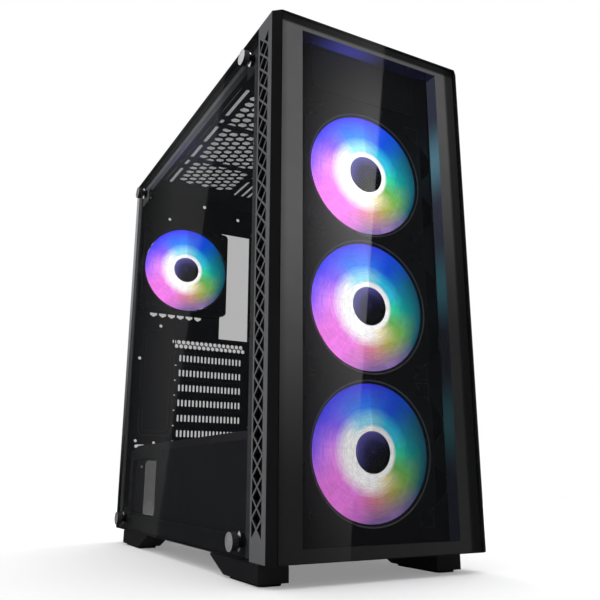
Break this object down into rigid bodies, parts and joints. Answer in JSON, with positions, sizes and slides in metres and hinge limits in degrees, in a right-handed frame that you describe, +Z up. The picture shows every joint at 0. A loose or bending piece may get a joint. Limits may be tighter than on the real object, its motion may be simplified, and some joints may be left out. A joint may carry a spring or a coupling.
{
  "type": "desktop computer tower",
  "caption": "Mid-tower desktop computer case with a tinted glass front and side, lit fans, lattice side vents, drive sleds and slide-out dust filters.",
  "frame": {"origin": "on the desk plane under the feet, on the middle plane of the case's width and half-way between its front and rear faces", "axes": "+Z up, -Y out of the front glass, -X out of the glass side, +X towards the motherboard tray"},
  "size_m": [0.2188, 0.4476, 0.479],
  "materials": {
    "black_steel": "satin black powder coat, fine texture",
    "black_plastic": "fine matte moulding",
    "grille_plastic": "satin dark grey moulding",
    "side_glass": "dark tinted tempered glass",
    "front_glass": "dark tinted tempered glass with a black border",
    "fan_plastic": "black moulded frame",
    "fan_blade": "translucent white, lit from the hub",
    "coil_pack": "varnished winding on a black core",
    "zinc_screw": "zinc plated",
    "black_screw": "black coated",
    "thumbscrew": "dark anodised, knurled",
    "brass": "turned",
    "rubber": "matte",
    "mesh": "fine black nylon mesh",
    "circuit_board": "solder mask",
    "socket_metal": "nickel plated",
    "socket_plastic": "black moulding",
    "button": "satin black cap"
  },
  "bodies": {
    "chassis": {"chassis_floor": "black_steel", "lower_rails": "black_steel", "top_rails": "black_steel", "front_pillars": "black_steel", "glass_posts": "black_screw", "front_plate": "black_steel", "front_module_cover": "black_plastic", "top_panel": "black_steel", "rear_panel": "black_steel", "rear_rims": "black_steel", "motherboard_tray": "black_steel", "board_standoffs": "brass", "psu_shroud": "black_steel", "slot_covers": "black_steel", "slot_screws": "zinc_screw", "slot_screw_cover": "black_steel", "feet": "black_plastic", "foot_pads": "rubber", "drive_cage": "black_steel", "ssd_brackets": "black_steel", "fan_hub": "black_plastic", "psu_pads": "rubber", "front_fan_lower_frame": "fan_plastic", "front_fan_middle_frame": "fan_plastic", "front_fan_upper_frame": "fan_plastic", "rear_fan_frame": "fan_plastic", "fan_stators": "coil_pack", "fan_screws": "black_screw", "io_housing": "black_plastic", "io_board": "circuit_board", "usb_sockets": "socket_metal", "audio_sockets": "socket_plastic", "top_bezel": "black_plastic", "psu_filter_guides": "black_plastic"},
    "side_glass": {"side_glass": "side_glass", "glass_bushes": "rubber"},
    "right_panel": {"right_panel": "black_steel"},
    "front_panel": {"front_frame": "black_plastic", "front_glass": "front_glass", "left_vent": "grille_plastic", "right_vent": "grille_plastic", "front_clips": "black_plastic"},
    "top_filter": {"top_filter_frame": "black_plastic", "top_filter_mesh": "mesh"},
    "psu_filter": {"psu_filter_frame": "black_plastic", "psu_filter_mesh": "mesh"},
    "drive_tray_lower": {"drive_tray_lower": "black_plastic"},
    "drive_tray_upper": {"drive_tray_upper": "black_plastic"},
    "power_button": {"power_button": "button"},
    "reset_button": {"reset_button": "button"},
    "front_fan_lower_rotor": {"front_fan_lower_rotor": "fan_blade"},
    "front_fan_middle_rotor": {"front_fan_middle_rotor": "fan_blade"},
    "front_fan_upper_rotor": {"front_fan_upper_rotor": "fan_blade"},
    "rear_fan_rotor": {"rear_fan_rotor": "fan_blade"},
    "thumbscrew_front_lower": {"thumbscrew_front_lower": "thumbscrew"},
    "thumbscrew_front_upper": {"thumbscrew_front_upper": "thumbscrew"},
    "thumbscrew_rear_lower": {"thumbscrew_rear_lower": "thumbscrew"},
    "thumbscrew_rear_upper": {"thumbscrew_rear_upper": "thumbscrew"},
    "right_screw_lower": {"right_screw_lower": "thumbscrew"},
    "right_screw_upper": {"right_screw_upper": "thumbscrew"}
  },
  "joints": [
    {"name": "side_glass_off", "type": "slide", "parent": "chassis", "child": "side_glass", "axis": [-1, 0, 0], "range_m": [0, 0.12]},
    {"name": "right_panel_slide", "type": "slide", "parent": "chassis", "child": "right_panel", "axis": [0, 1, 0], "range_m": [0, 0.02]},
    {"name": "front_panel_off", "type": "slide", "parent": "chassis", "child": "front_panel", "axis": [0, -1, 0], "range_m": [0, 0.09]},
    {"name": "top_filter_lift", "type": "slide", "parent": "chassis", "child": "top_filter", "axis": [0, 0, 1], "range_m": [0, 0.08]},
    {"name": "psu_filter_slide", "type": "slide", "parent": "chassis", "child": "psu_filter", "axis": [0, 1, 0], "range_m": [0, 0.15]},
    {"name": "drive_tray_lower_slide", "type": "slide", "parent": "chassis", "child": "drive_tray_lower", "axis": [1, 0, 0], "range_m": [0, 0.03]},
    {"name": "drive_tray_upper_slide", "type": "slide", "parent": "chassis", "child": "drive_tray_upper", "axis": [1, 0, 0], "range_m": [0, 0.03]},
    {"name": "power_button_press", "type": "slide", "parent": "chassis", "child": "power_button", "axis": [0, 0, -1], "range_m": [0, 0.0015], "stiffness_N_per_m": 400, "springref_m": -0.0005},
    {"name": "reset_button_press", "type": "slide", "parent": "chassis", "child": "reset_button", "axis": [0, 0, -1], "range_m": [0, 0.0015], "stiffness_N_per_m": 300, "springref_m": -0.0005},
    {"name": "front_fan_lower_spin", "type": "hinge", "parent": "chassis", "child": "front_fan_lower_rotor", "pos_m": [0, -0.19, 0.0983], "axis": [0, 1, 0], "continuous": true},
    {"name": "front_fan_middle_spin", "type": "hinge", "parent": "chassis", "child": "front_fan_middle_rotor", "pos_m": [0, -0.19, 0.2241], "axis": [0, 1, 0], "continuous": true},
    {"name": "front_fan_upper_spin", "type": "hinge", "parent": "chassis", "child": "front_fan_upper_rotor", "pos_m": [0, -0.19, 0.3499], "axis": [0, 1, 0], "continuous": true},
    {"name": "rear_fan_spin", "type": "hinge", "parent": "chassis", "child": "rear_fan_rotor", "pos_m": [-0.0404, 0.192, 0.3554], "axis": [0, 1, 0], "continuous": true},
    {"name": "thumbscrew_front_lower_turn", "type": "hinge", "parent": "side_glass", "child": "thumbscrew_front_lower", "pos_m": [-0.105, -0.1675, 0.0296], "axis": [-1, 0, 0], "range_deg": [0, 1440]},
    {"name": "thumbscrew_front_upper_turn", "type": "hinge", "parent": "side_glass", "child": "thumbscrew_front_upper", "pos_m": [-0.105, -0.1675, 0.4575], "axis": [-1, 0, 0], "range_deg": [0, 1440]},
    {"name": "thumbscrew_rear_lower_turn", "type": "hinge", "parent": "side_glass", "child": "thumbscrew_rear_lower", "pos_m": [-0.105, 0.1875, 0.0296], "axis": [-1, 0, 0], "range_deg": [0, 1440]},
    {"name": "thumbscrew_rear_upper_turn", "type": "hinge", "parent": "side_glass", "child": "thumbscrew_rear_upper", "pos_m": [-0.105, 0.1875, 0.4575], "axis": [-1, 0, 0], "range_deg": [0, 1440]},
    {"name": "right_screw_lower_turn", "type": "hinge", "parent": "right_panel", "child": "right_screw_lower", "pos_m": [0.094, 0.2205, 0.06], "axis": [0, 1, 0], "range_deg": [0, 1440]},
    {"name": "right_screw_upper_turn", "type": "hinge", "parent": "right_panel", "child": "right_screw_upper", "pos_m": [0.094, 0.2205, 0.43], "axis": [0, 1, 0], "range_deg": [0, 1440]}
  ]
}
